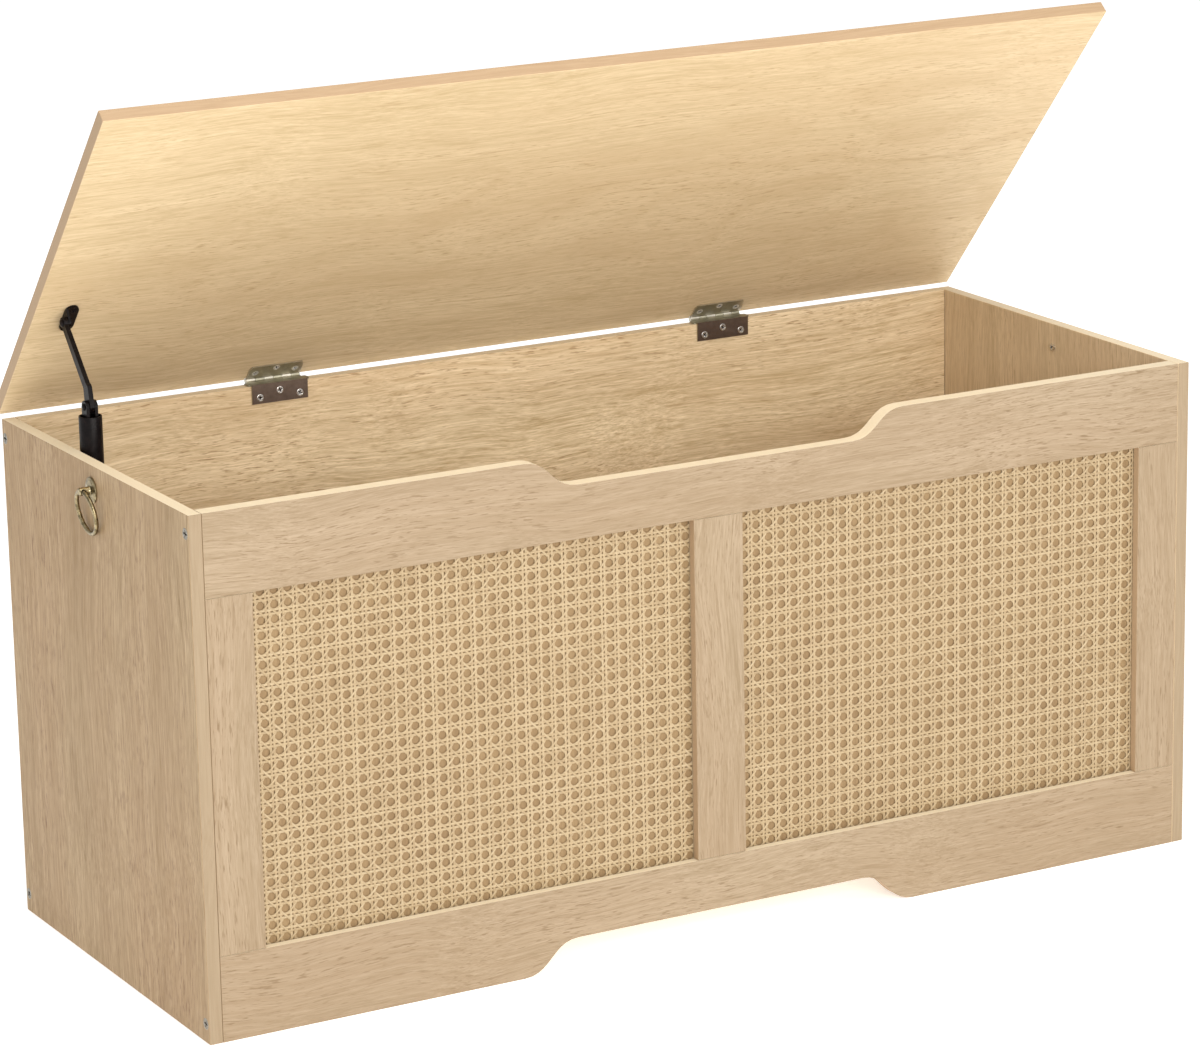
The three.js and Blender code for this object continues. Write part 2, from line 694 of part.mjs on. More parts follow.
const PULL_SCREW = { head: 3.6, headThick: 2, shank: 1.8, shankEnd: 5.4 };

function pullPlate(name) {
  const profile = [
    [0, GAP],
    [PULL.plateRadius, GAP],
    [PULL.plateRadius, 1.2],
    [PULL.plateRadius - 1.2, PULL.plateThick],
    [0, PULL.plateThick],
  ];
  const disc = turned(profile, [0, 0, 0], [1, 0, 0], 28);
  const hole = rod(PULL_SCREW.shank + GAP, 6, [-1, 0, 0], [1, 0, 0], 12);
  return meshOf(name, cut(disc, [hole]), ANTIQUE_BRASS);
}

function pullPost(name) {
  const base = PULL.plateThick + GAP;
  const profile = [
    [0, base],
    [PULL.postRadius + 0.8, base],
    [PULL.postRadius, base + 1],
    [PULL.postRadius, PULL.postLength - 1],
    [PULL.postRadius - 1, PULL.postLength],
    [0, PULL.postLength],
  ];
  const body = turned(profile, [0, 0, 0], [1, 0, 0], 18);
  const eye = rod(PULL.eyeRadius, 12, [PULL.eye, -6, 0], [0, 1, 0], 16);
  const blindHole = rod(PULL_SCREW.shank + GAP, 4.2, [base - 1, 0, 0], [1, 0, 0], 12);
  return meshOf(name, cut(body, [eye, blindHole]), ANTIQUE_BRASS);
}

function pullRing(name) {
  const geometry = new THREE.TorusGeometry(PULL.ringRadius, PULL.wireRadius, 8, 30);
  const ring = new THREE.Mesh(geometry, ANTIQUE_BRASS);
  ring.geometry.applyMatrix4(basis('yz'));
  ring.geometry.translate(0, 0, -PULL.ringRadius);
  const lean = THREE.MathUtils.degToRad(PULL.lean);
  ring.position.set(PULL.eye, 0, 0);
  ring.rotation.y = lean;
  ring.name = name;
  return ring;
}

function pullScrew(name) {
  const head = -BOARD - PULL_SCREW.headThick - GAP;
  const profile = [
    [0, head],
    [PULL_SCREW.head - 0.9, head],
    [PULL_SCREW.head, -BOARD - GAP],
    [PULL_SCREW.shank, -BOARD - GAP],
    [PULL_SCREW.shank, PULL_SCREW.shankEnd],
    [0, PULL_SCREW.shankEnd],
  ];
  const body = turned(profile, [0, 0, 0], [1, 0, 0], 12);
  const slots = [
    block([head - 1, -2.2, -0.5], [head + 1.1, 2.2, 0.5]),
    block([head - 1, -0.5, -2.2], [head + 1.1, 0.5, 2.2]),
  ];
  return meshOf(name, cut(body, slots), SCREW_STEEL);
}

function pullCentre(side) {
  return [(side * LENGTH) / 2, DEPTH / 2, HEIGHT - PULL.belowRim];
}

function ringPull(name, side) {
  const pull = new THREE.Group();
  pull.add(
    pullPlate(`${name}_pull_plate`),
    pullPost(`${name}_pull_post`),
    pullRing(`${name}_pull_ring`),
    pullScrew(`${name}_pull_screw`),
  );
  pull.position.set(...pullCentre(side));
  pull.rotation.z = side < 0 ? Math.PI : 0;
  return pull;
}

function pullHole(side) {
  const [x, y, z] = pullCentre(side);
  return rod(PULL_SCREW.shank + GAP, BOARD + 4, [x - side * (BOARD + 2), y, z], [side, 0, 0], 12);
}

// ---- the whole box ------------------------------------------------------------------------

const backHoles = HINGES.flatMap(({ x }) => boxLeafScrewFaces(x)).map((face) =>
  screwHole(HINGE_SCREW, face, [0, -1, 0]),
);
const wallHoles = [
  pullHole(-1),
  pullHole(1),
  ...wallScrewFaces().map((face) => screwHole(STAY_SCREW, face, [1, 0, 0])),
];

const toyBox = new THREE.Group();
toyBox.add(
  ...carcase(backHoles, wallHoles),
  ...fixedHingeParts(),
  ...fixedStayParts(),
  ...movingStayParts(),
  lid(),
  ringPull('left', -1),
  ringPull('right', 1),
);
toyBox.position.y = -REARMOST / 2;

export default toyBox;
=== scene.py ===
"""Looks of a wooden toy box with woven cane panels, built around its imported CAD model. Metres."""

import json
import math
import random

import bmesh
import bpy
from mathutils import Matrix, Vector


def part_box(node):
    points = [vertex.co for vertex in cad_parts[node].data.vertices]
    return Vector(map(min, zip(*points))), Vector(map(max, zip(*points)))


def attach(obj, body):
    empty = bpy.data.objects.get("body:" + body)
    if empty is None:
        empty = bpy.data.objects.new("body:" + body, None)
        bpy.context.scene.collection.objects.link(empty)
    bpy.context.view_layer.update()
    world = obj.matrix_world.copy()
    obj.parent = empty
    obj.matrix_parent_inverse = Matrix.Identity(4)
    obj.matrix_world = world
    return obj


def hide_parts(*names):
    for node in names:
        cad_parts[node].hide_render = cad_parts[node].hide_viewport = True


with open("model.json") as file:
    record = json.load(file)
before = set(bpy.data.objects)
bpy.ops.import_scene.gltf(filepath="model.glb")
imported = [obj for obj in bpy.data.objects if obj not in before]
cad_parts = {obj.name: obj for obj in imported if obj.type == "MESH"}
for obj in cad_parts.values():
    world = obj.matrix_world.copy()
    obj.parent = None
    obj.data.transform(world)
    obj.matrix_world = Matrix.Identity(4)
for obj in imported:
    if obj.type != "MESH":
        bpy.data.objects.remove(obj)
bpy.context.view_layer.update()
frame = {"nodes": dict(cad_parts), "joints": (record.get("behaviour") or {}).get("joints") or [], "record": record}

MM = 0.001
JOINTS = {joint["name"]: joint for joint in frame["joints"]}
HINGE_POINT = Vector(JOINTS["lid_hinge"]["pos_m"])
LID_OPEN = math.radians(-JOINTS["lid_hinge"]["range_deg"][0])
LID_FRAME = Matrix.Translation(HINGE_POINT) @ Matrix.Rotation(-LID_OPEN, 4, "X")

# Camera, in the same frame as the CAD. Angles are in degrees, the lens and its sensor in millimetres.
CAMERA_PLACE = (-1.9876, -3.6009, 1.4319)
CAMERA_YAW = 28.854
CAMERA_PITCH = -14.955
CAMERA_ROLL = -1.094
CAMERA_LENS = 140.72
CAMERA_SENSOR = 36
CAMERA_CLIP_END = 80

# Studio. Each lamp has its name, place, target, size, power and colour.
LAMPS = (
    ("key", (2.2, -3.4, 3.0), (0, 0, 0.3), (2.4, 2.4), 25, (1.0, 0.985, 0.96)),
    ("front", (-0.9, -4.3, 1.9), (0, 0.1, 0.5), (2.6, 1.4), 124, (1.0, 0.99, 0.97)),
    ("top", (-0.3, -0.9, 3.6), (-0.1, -0.1, 0.4), (3.0, 3.0), 64, (1.0, 0.99, 0.97)),
    ("low", (0.3, -3.6, 0.35), (0, 0.2, 0.6), (3.0, 0.6), 40, (1.0, 0.98, 0.95)),
)
WORLD_STRENGTH = 0.55
FLOOR_HALF = 25.0
FLOOR_DROP = 0.5 * MM
FLOOR_GLOW = 0.50
FLOOR_DARK = (0.93, 0.93, 0.93)
FLOOR_LIGHT = (0.95, 0.95, 0.95)

# Oak: the tone of each board, and the colours of its cut edges as (facing up, facing the front). All boards are
# one laminate; their tones differ as painted light and shade, lighter for the lid, the inside and the right side,
# darker for the front and the left side.
OAK_LID_LIT = (0.585, 0.452, 0.272)
OAK_INSIDE_LIT = (0.730, 0.572, 0.355)
OAK_FRONT_SHADED = (0.294, 0.219, 0.137)
OAK_SIDE_SHADED = (0.425, 0.298, 0.162)
OAK_RIGHT_LIT = (0.720, 0.570, 0.375)
# Edge colours: pale on edges facing up, partly the cut edge's own colour and partly painted light; tan on edges
# facing sideways and on all the lid's edges, as painted shade.
EDGE_PALE_LIT = (0.770, 0.655, 0.470)
EDGE_TAN_SHADED = (0.430, 0.295, 0.175)
BOARD_EDGES = (EDGE_PALE_LIT, OAK_FRONT_SHADED)
LID_EDGES = (EDGE_TAN_SHADED, EDGE_TAN_SHADED)
RING_SPACING = 11 * MM
GRAIN_BEND = 0.035

# Boards. Each has the axis its grain follows, its flat side, the shift of its figure, its tone, which carries
# that board's painted light and shade, the colours of its edges, their radius in millimetres, and the strength of
# its figure.
LID_NORMAL = (0.0, math.sin(LID_OPEN), math.cos(LID_OPEN))
BOARDS = {
    "lid_panel": ("X", LID_NORMAL, (0.31, 0.12, 0.57), OAK_LID_LIT, LID_EDGES, 0.7, 1.0),
    "back_panel": ("X", (0, 1, 0), (0.77, 0.41, 0.23), OAK_INSIDE_LIT, BOARD_EDGES, 0.5, 1.7),
    "floor_panel": ("X", (0, 0, 1), (0.13, 0.91, 0.37), OAK_INSIDE_LIT, BOARD_EDGES, 0.4, 1.5),
    "left_side_panel": ("Z", (1, 0, 0), (0.53, 0.29, 0.11), OAK_SIDE_SHADED, BOARD_EDGES, 0.7, 1.8),
    "right_side_panel": ("Z", (1, 0, 0), (0.19, 0.67, 0.83), OAK_RIGHT_LIT, BOARD_EDGES, 0.7, 1.05),
    "front_top_rail": ("X", (0, 1, 0), (0.43, 0.21, 0.09), OAK_FRONT_SHADED, BOARD_EDGES, 0.4, 1.15),
    "front_bottom_rail": ("X", (0, 1, 0), (0.91, 0.17, 0.71), OAK_FRONT_SHADED, BOARD_EDGES, 0.4, 1.15),
    "front_left_stile": ("Z", (0, 1, 0), (0.27, 0.47, 0.61), OAK_FRONT_SHADED, BOARD_EDGES, 0.35, 1.15),
    "front_centre_stile": ("Z", (0, 1, 0), (0.61, 0.83, 0.31), OAK_FRONT_SHADED, BOARD_EDGES, 0.35, 1.15),
    "front_right_stile": ("Z", (0, 1, 0), (0.83, 0.59, 0.93), OAK_FRONT_SHADED, BOARD_EDGES, 0.35, 1.15),
}

# Half-inch cane webbing: strands in pairs, upright and level, and single diagonals.
CANE_PITCH = 12.7 * MM
CANE_PAIR = 1.62 * MM
CANE_STRAND = 2.15 * MM
CANE_DIAGONAL = 1.9 * MM
CANE_THICK = 0.36 * MM
CANE_PAIR_RISE = 0.22 * MM
CANE_DIAGONAL_RISE = 0.55 * MM
CANE_LEAN = 0.12 * MM
CANE_SHORTEST = 2 * MM
CANE_EASE = 1.5 * MM

# Where the webbing's pairs lie in each panel, from the panel's lower left corner, in pitches.
CANE_PHASE = {"left": (0.95, 0.33), "right": (0.60, 0.33)}

# A strand's (place, rise) through one cell of the webbing, with rises as shares of the full one.
PAIR_WAVE = (
    (-CANE_PITCH / 2, 0.0),
    (-CANE_PAIR - CANE_EASE, 0.35),
    (-CANE_PAIR, 1.0),
    (0.0, 0.0),
    (CANE_PAIR, -1.0),
    (CANE_PAIR + CANE_EASE, -0.35),
)
DIAGONAL_WAVE = (
    (0.0, 1),
    (0.19 * CANE_PITCH, 0.85),
    (0.31 * CANE_PITCH, -0.85),
    (0.5 * CANE_PITCH, -1),
    (0.69 * CANE_PITCH, -0.85),
    (0.81 * CANE_PITCH, 0.85),
)

# Rounding of the CAD solids' own edges. Angles are in degrees.
MERGE = 0.002 * MM
FLAT_ANGLE = 0.8
BOARD_SEGMENTS = 3
BOARD_SHORTEST = 3.4 * MM
BOARD_ANGLE = 25.0
METAL_SHORTEST = 0.5 * MM
HINGE_SHORTEST = 0.8 * MM
METAL_ANGLE = 60

# Screws: radius of the head, radius of the shank, countersink depth and crown, in millimetres.
PULL_SCREW = (3.6, 1.8, 1.7, 0.35)
STAY_SCREW = (3.6, 1.6, 2.0, 0.0)
HINGE_SCREW = (3.3, 1.5, 1.8, 0.0)
CORNER_SCREW = (5.0, 2.3, 3.0, 0.0)
SCREW_SIDES = 48
SCREW_LIP = 0.12 * MM
SCREW_RINGS = (0.0, 0.12, 0.2, 0.3, 0.4, 0.5, 0.6, 0.7, 0.8, 0.9)

# The cross recess of a screw head, as shares of the head's radius.
RECESS_REACH = 0.62
RECESS_HALF = 0.15
RECESS_DEPTH = 0.34

# Ring pulls. The plate's steps are (distance in from its rim, height), in millimetres.
RING_WIRE = 1.95 * MM
RING_INSET = 0.05 * MM
RING_STEPS = 96
WIRE_STEPS = 24
PLATE_BORE = 2.1 * MM
PLATE_STEPS = ((0.3, 0), (0, 0.25), (0, 0.7), (0.35, 1.05), (1.1, 1.3), (1.9, 1.35), (2.6, 1.6))

# Lid stay and hinges.
SLEEVE_BORE = 9 * MM
SLEEVE_FILLET = 0.6 * MM
SLEEVE_CHAMFER = 0.3 * MM
ROD_FILLET = 1 * MM
PIN_SHANK = 2.2 * MM
PIN_EARS = 5.7 * MM
HINGE_PIN = 1.4 * MM
HINGE_PIN_FILLET = 0.3 * MM
PLATE_FRONT_DEPTH = 0.5 * MM


# ---- material graphs ----------------------------------------------------------------------


class Graph:
    """A material's node tree, with short calls for the nodes used here."""

    def __init__(self, name):
        self.material = bpy.data.materials.new(name)
        self.material.use_nodes = True
        self.tree = self.material.node_tree
        self.shader = self.tree.nodes["Principled BSDF"]

    def node(self, kind, inputs=None, **settings):
        made = self.tree.nodes.new(kind)
        for key, value in settings.items():
            setattr(made, key, value)
        for key, value in (inputs or {}).items():
            self.feed(made.inputs[key], value)
        return made

    def feed(self, socket, value):
        if isinstance(value, bpy.types.NodeSocket):
            self.tree.links.new(value, socket)
        else:
            socket.default_value = value

    def shade(self, **values):
        for key, value in values.items():
            self.feed(self.shader.inputs[key.replace("_", " ")], value)
        return self.material

    def coordinates(self, output="Object"):
        return self.node("ShaderNodeTexCoord").outputs[output]

    def attribute(self, name):
        return self.node("ShaderNodeAttribute", attribute_name=name).outputs["Fac"]

    def placed(self, vector, scale, shift=(0, 0, 0)):
        inputs = {"Vector": vector, "Scale": scale, "Location": shift}
        return self.node("ShaderNodeMapping", inputs).outputs["Vector"]

    def noise(self, vector, scale, detail, roughness):
        inputs = {"Vector": vector, "Scale": scale, "Detail": detail, "Roughness": roughness}
        return self.node("ShaderNodeTexNoise", inputs).outputs["Fac"]

    def math(self, operation, first, second=0.0, clamp=False):
        made = self.node("ShaderNodeMath", operation=operation, use_clamp=clamp)
        self.feed(made.inputs[0], first)
        self.feed(made.inputs[1], second)
        return made.outputs[0]

    def total(self, *weighted):
        """The sum of value times weight over the given pairs."""
        result = 0.0
        for value, weight in weighted:
            made = self.node("ShaderNodeMath", operation="MULTIPLY_ADD")
            self.feed(made.inputs[0], value)
            self.feed(made.inputs[1], weight)
            self.feed(made.inputs[2], result)
            result = made.outputs[0]
        return result

    def span(self, value, low, high, to_low=0.0, to_high=1.0):
        """Maps `low`..`high` to `to_low`..`to_high`, and holds the ends beyond them."""
        inputs = {"Value": value, "From Min": low, "From Max": high, "To Min": to_low, "To Max": to_high}
        return self.node("ShaderNodeMapRange", inputs).outputs["Result"]

    def dot(self, vector, direction):
        made = self.node("ShaderNodeVectorMath", operation="DOT_PRODUCT")
        self.feed(made.inputs[0], vector)
        made.inputs[1].default_value = direction
        return made.outputs["Value"]

    def ramp(self, value, stops):
        made = self.node("ShaderNodeValToRGB", {"Fac": value})
        elements = made.color_ramp.elements
        while len(elements) < len(stops):
            elements.new(0.5)
        for element, (position, colour) in zip(elements, stops):
            element.position = position
            element.color = (*colour, 1.0)
        return made.outputs["Color"]

    def mix(self, factor, first, second):
        made = self.node("ShaderNodeMix", data_type="RGBA")
        self.feed(made.inputs["Factor"], factor)
        self.feed(made.inputs[6], first)
        self.feed(made.inputs[7], second)
        return made.outputs[2]

    def bump(self, height, strength, distance):
        inputs = {"Height": height, "Strength": strength, "Distance": distance}
        return self.node("ShaderNodeBump", inputs).outputs["Normal"]


def rgba(red, green, blue):
    return (red, green, blue, 1.0)


# ---- oak ----------------------------------------------------------------------------------


def shaded(colour, amounts):
    return rgba(*(channel * amount for channel, amount in zip(colour, amounts)))


def bent_place(graph, shift):
    """Object coordinates pushed gently about, so that the grain wanders."""
    shifted = graph.placed(graph.coordinates(), (1, 1, 1), shift)
    drift = graph.node("ShaderNodeTexNoise", {"Vector": shifted})
    drift.inputs["Scale"].default_value = 4.5
    drift.inputs["Detail"].default_value = 1.0
    bend = graph.node("ShaderNodeVectorMath", operation="MULTIPLY_ADD")
    graph.feed(bend.inputs[0], drift.outputs["Color"])
    bend.inputs[1].default_value = (GRAIN_BEND, GRAIN_BEND, GRAIN_BEND)
    graph.feed(bend.inputs[2], graph.coordinates())
    return bend.outputs[0]


def growth_rings(graph, place, along, arch, threads, broad):
    """Bent lines across the grain, which close into arches where the bend is strong."""
    across = tuple(0.0 if axis == along else 1.0 for axis in range(3))
    distance = graph.dot(place, across)
    phase = graph.total((distance, 2 * math.pi / RING_SPACING), (arch, 42.0), (threads, 2.2))
    rings = graph.span(graph.math("SINE", phase), 0.2, 1.0)
    return graph.math("MULTIPLY", rings, graph.span(broad, 0.46, 0.62))


def cut_edges(graph, colour, face, edges, threads):
    """Colours the board's edges over `colour`: those facing up, those facing the front, and the rest. The pale on
    edges facing up is partly the cut edge's own colour and partly painted light; the tan on the rest is painted
    shade.
    """
    edge_up, edge_front = edges
    flatness = graph.math("ABSOLUTE", graph.dot(graph.coordinates("Normal"), face))
    edge_share = graph.span(flatness, 0.75, 0.6)
    normal = graph.node("ShaderNodeSeparateXYZ", {"Vector": graph.coordinates("Normal")})
    up_edge = graph.math("MULTIPLY", edge_share, graph.span(normal.outputs["Z"], 0.3, 0.6))
    front_edge = graph.math("MULTIPLY", edge_share, graph.span(normal.outputs["Y"], -0.3, -0.6))
    edge_figure = graph.span(threads, 0.3, 0.7, 0.0, 0.6)
    colour = graph.mix(edge_share, colour, rgba(*EDGE_TAN_SHADED))
    up_colour = graph.mix(edge_figure, rgba(*edge_up), shaded(edge_up, (0.93, 0.90, 0.86)))
    colour = graph.mix(up_edge, colour, up_colour)
    front_colour = graph.mix(edge_figure, rgba(*edge_front), shaded(edge_front, (0.78, 0.73, 0.66)))
    return graph.mix(front_edge, colour, front_colour)


def oak(name, grain, face, shift, base, edges, strength):
    """Light oak laminate. `grain` is the axis the grain follows, and `face` the board's flat side.

    `edges` holds the colour of the edges that face up, and of those that face the front.
    """
    graph = Graph(name)
    along = "XYZ".index(grain)
    place = bent_place(graph, shift)

    def tone(*amounts):
        return shaded(base, [1 + strength * (amount - 1) for amount in amounts])

    def layer(stretch, scale, detail, roughness):
        """Noise drawn out along the grain by `stretch`."""
        scales = [1.0, 1.0, 1.0]
        scales[along] = 1.0 / stretch
        return graph.noise(graph.placed(place, scales, shift), scale, detail, roughness)

    fibres = layer(28, 1500, 2, 0.6)
    threads = layer(40, 520, 3, 0.6)
    lines = layer(60, 200, 3, 0.6)
    bands = layer(9, 30, 3, 0.55)
    broad = layer(4, 7, 2, 0.5)
    rings = growth_rings(graph, place, along, layer(6, 8, 1, 0.4), threads, broad)

    # Pores: short dark dashes, crowded where the grain is open.
    dashes = graph.span(layer(11, 760, 2, 0.5), 0.57, 0.68)
    crowd = graph.span(graph.total((bands, 0.6), (broad, 0.4)), 0.44, 0.60)
    dashes = graph.math("MULTIPLY", dashes, graph.math("ADD", crowd, 0.22, True))
    dark_lines = graph.span(lines, 0.60, 0.74)

    figure = graph.total((fibres, 0.30), (threads, 0.32), (lines, 0.24), (bands, 0.22))
    level = graph.span(figure, 0.43, 0.65)
    colour = graph.mix(level, tone(0.80, 0.765, 0.70), tone(1.14, 1.16, 1.21))
    colour = graph.mix(graph.math("MULTIPLY", rings, 0.42), colour, tone(0.80, 0.745, 0.67))
    warm = graph.span(broad, 0.38, 0.66, 0.0, 0.45)
    colour = graph.mix(warm, colour, tone(0.98, 0.93, 0.91))
    colour = graph.mix(graph.math("MULTIPLY", dark_lines, 0.55), colour, tone(0.66, 0.58, 0.48))
    colour = graph.mix(graph.math("MULTIPLY", dashes, 0.62), colour, tone(0.58, 0.49, 0.38))

    height = graph.total((fibres, 0.4), (threads, 0.4), (dashes, -0.9), (dark_lines, -0.4))
    graph.shader.inputs["Specular IOR Level"].default_value = 0.3
    return graph.shade(
        Base_Color=cut_edges(graph, colour, face, edges, threads),
        Roughness=graph.span(graph.total((fibres, 0.5), (threads, 0.5)), 0.3, 0.7, 0.62, 0.46),
        Normal=graph.bump(height, 0.3, 0.12 * MM),
    )


# ---- the other materials ------------------------------------------------------------------


def cane_material():
    """Split cane: a pale glossy skin with fine fibres along each strand and a different tone per strand."""
    graph = Graph("woven_cane")
    strand = graph.attribute("strand")
    along = graph.attribute("along")
    across = graph.attribute("across")
    lane = graph.node("ShaderNodeCombineXYZ", {"X": along, "Y": across, "Z": strand})
    fibres = graph.noise(graph.placed(lane.outputs[0], (60, 9, 40)), 3.0, 3, 0.6)
    patches = graph.noise(graph.placed(lane.outputs[0], (35, 0.6, 90)), 1.0, 2, 0.5)
    level = graph.total((fibres, 0.45), (patches, 0.45), (strand, 0.28))
    colour = graph.ramp(
        level,
        [
            (0.25, (0.245, 0.164, 0.080)),
            (0.45, (0.318, 0.226, 0.120)),
            (0.62, (0.366, 0.267, 0.147)),
            (0.85, (0.415, 0.317, 0.191)),
        ],
    )
    graph.shader.inputs["Specular IOR Level"].default_value = 0.45
    return graph.shade(
        Base_Color=colour,
        Roughness=graph.span(fibres, 0.3, 0.7, 0.36, 0.55),
        Normal=graph.bump(fibres, 0.35, 0.05 * MM),
    )


def backing_material():
    """A plain tan board with a faint upright grain, seen through the holes of the weave."""
    graph = Graph("backing_board")
    grain = graph.noise(graph.placed(graph.coordinates(), (1, 1, 0.12)), 420, 4, 0.6)
    broad = graph.noise(graph.coordinates(), 18, 2, 0.5)
    level = graph.total((grain, 0.6), (broad, 0.4))
    colour = graph.ramp(
        level,
        [(0.3, (0.188, 0.112, 0.046)), (0.55, (0.242, 0.153, 0.067)), (0.75, (0.292, 0.196, 0.094))],
    )
    return graph.shade(Base_Color=colour, Roughness=0.7, Normal=graph.bump(grain, 0.2, 0.1 * MM))


def metal(name, dark, light, roughness, scale):
    """A metal with mottled colour, painted shade in its recesses and fine unevenness in its polish."""
    graph = Graph(name)
    mottle = graph.noise(graph.coordinates(), scale, 4, 0.6)
    fine = graph.noise(graph.coordinates(), scale * 7, 2, 0.5)
    colour = graph.ramp(mottle, [(0.35, dark), (0.62, light)])
    # Painted shade: dark where a screw head's cross recess is, by its recess value.
    colour = graph.mix(graph.attribute("recess"), colour, rgba(0.035, 0.030, 0.028))
    rough = graph.span(graph.total((mottle, 0.6), (fine, 0.4)), 0.3, 0.7, roughness + 0.1, roughness - 0.08)
    graph.shader.inputs["Metallic"].default_value = 1.0
    return graph.shade(Base_Color=colour, Roughness=rough, Normal=graph.bump(fine, 0.12, 0.05 * MM))


def black_metal():
    """Black semi-gloss coat with a slight orange peel and worn high spots."""
    graph = Graph("black_metal")
    peel = graph.noise(graph.coordinates(), 900, 2, 0.5)
    wear = graph.noise(graph.coordinates(), 130, 5, 0.65)
    colour = graph.ramp(wear, [(0.45, (0.0040, 0.0026, 0.0026)), (0.74, (0.011, 0.007, 0.007))])
    graph.shader.inputs["Specular IOR Level"].default_value = 0.12
    return graph.shade(
        Base_Color=colour,
        Roughness=graph.span(wear, 0.3, 0.7, 0.24, 0.40),
        Normal=graph.bump(peel, 0.12, 0.06 * MM),
    )


# Metals: dark and light tones, roughness, and the scale of the mottling.
# Hinge metals: one metal at three tones, as painted reflection and shade. The slot's metal, the lightest, is on
# the lid leaves; the olive is on the box leaves; the brown is on the front of their plates.
HINGE_METAL_LIT = metal("hinge_metal", (0.50, 0.465, 0.385), (0.60, 0.56, 0.47), 0.34, 120)
HINGE_BROWN_SHADED = metal("hinge_brown_shaded", (0.150, 0.108, 0.084), (0.195, 0.143, 0.112), 0.42, 120)
SCREW_STEEL = metal("screw_steel", (0.62, 0.60, 0.57), (0.80, 0.78, 0.75), 0.30, 400)
# Lighter and darker copies of the screw steel, as painted reflection and shade: the lighter for the lid-leaf
# screws, the darker for the corner screws.
SCREW_LIT = metal("screw_lit", (0.86, 0.84, 0.80), (0.95, 0.93, 0.89), 0.55, 400)
SCREW_SHADED = metal("screw_shaded", (0.20, 0.185, 0.150), (0.36, 0.335, 0.285), 0.42, 400)
HINGE_OLIVE_SHADED = metal("hinge_olive_shaded", (0.34, 0.315, 0.235), (0.44, 0.41, 0.31), 0.38, 120)
BRASS = metal("antique_brass", (0.115, 0.088, 0.045), (0.40, 0.325, 0.185), 0.30, 210)
BLACK = black_metal()

SLOT_MATERIALS = {
    "woven_cane": cane_material(),
    "backing_board": backing_material(),
    "hinge_metal": HINGE_METAL_LIT,
    "screw_steel": SCREW_STEEL,
    "antique_brass": BRASS,
}
NODE_SLOT = {part["node"]: part["material_slot"] for part in frame["record"]["subparts"]}
NODE_BODY = {
    node: body for body, nodes in frame["record"]["behaviour"]["bodies"].items() for node in nodes
}


def finish_of(node):
    """The material a node shows: its slot's, apart from the black stay fittings and the screws that take the
    lighter and the darker copies of the screw steel, as painted light and shade.
    """
    if node.startswith("stay_"):
        return BLACK
    # Painted reflection on the lid-leaf screws, painted shade on the corner screws.
    if "hinge_lid_screw" in node:
        return SCREW_LIT
    if "_screw_front_" in node or "_screw_back_" in node:
        return SCREW_SHADED
    return SLOT_MATERIALS[NODE_SLOT[node]]


# ---- pieces -------------------------------------------------------------------------------


def piece(name, mesh, node, smooth, material=None):
    """A finished mesh that stands for a CAD node: it rides on the node's body and takes its slot.

    Edges sharper than `smooth` degrees stay sharp.
    """
    made = bpy.data.objects.new(name, mesh)
    bpy.context.scene.collection.objects.link(made)
    mesh.materials.clear()
    mesh.materials.append(material or finish_of(node))
    mesh.polygons.foreach_set("use_smooth", [True] * len(mesh.polygons))
    mesh.set_sharp_from_angle(angle=math.radians(smooth))
    mesh.update()
    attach(made, NODE_BODY[node])
    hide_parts(node)
    return made


def node_box(node):
    """The low corner, high corner and middle of a CAD node."""
    low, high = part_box(node)
    return low, high, (low + high) / 2


def mesh_from(bm, name):
    mesh = bpy.data.meshes.new(name)
    bm.normal_update()
    bm.to_mesh(mesh)
    bm.free()
    return mesh


def softened(node, radius, segments, shortest, keep_angle, material=None):
    """The CAD node's own solid with its long outer edges rounded off.

    An edge is rounded if it is longer than `shortest` and turns by more than `keep_angle` degrees.
    """
    bm = bmesh.new()
    bm.from_mesh(frame["nodes"][node].data)
    bmesh.ops.remove_doubles(bm, verts=bm.verts, dist=MERGE)
    flat = math.radians(FLAT_ANGLE)
    bmesh.ops.dissolve_limit(
        bm, angle_limit=flat, verts=bm.verts, edges=bm.edges, use_dissolve_boundaries=False
    )
    sharp = [
        edge
        for edge in bm.edges
        if edge.is_manifold
        and edge.calc_length() > shortest
        and edge.calc_face_angle_signed() > math.radians(keep_angle)
    ]
    bmesh.ops.bevel(
        bm,
        geom=sharp,
        offset=radius,
        segments=segments,
        profile=0.5,
        affect="EDGES",
        clamp_overlap=True,
    )
    made = piece(f"soft_{node}", mesh_from(bm, f"soft_{node}"), node, 32.0, material)
    normals = made.modifiers.new("normals", "WEIGHTED_NORMAL")
    normals.keep_sharp = True
    normals.weight = 80
    return made


def circle_point(radius, height, step, sides):
    """One of the equally spaced points of a circle about +Z."""
    turn = 2 * math.pi * step / sides
    return Vector((radius * math.cos(turn), radius * math.sin(turn), height))


def turned(bm, profile, sides, place):
    """Adds a turned solid. `profile` runs from the axis to the axis as (radius, height) along +Z."""
    rings = []
    for radius, height in profile:
        if radius < 1e-7:
            rings.append([bm.verts.new(place @ Vector((0, 0, height)))])
            continue
        circle = [circle_point(radius, height, step, sides) for step in range(sides)]
        rings.append([bm.verts.new(place @ point) for point in circle])
    for lower, upper in zip(rings, rings[1:]):
        for step in range(sides):
            after = (step + 1) % sides
            if len(lower) == 1:
                bm.faces.new((lower[0], upper[after], upper[step]))
            elif len(upper) == 1:
                bm.faces.new((lower[step], lower[after], upper[0]))
            else:
                bm.faces.new((lower[step], lower[after], upper[after], upper[step]))


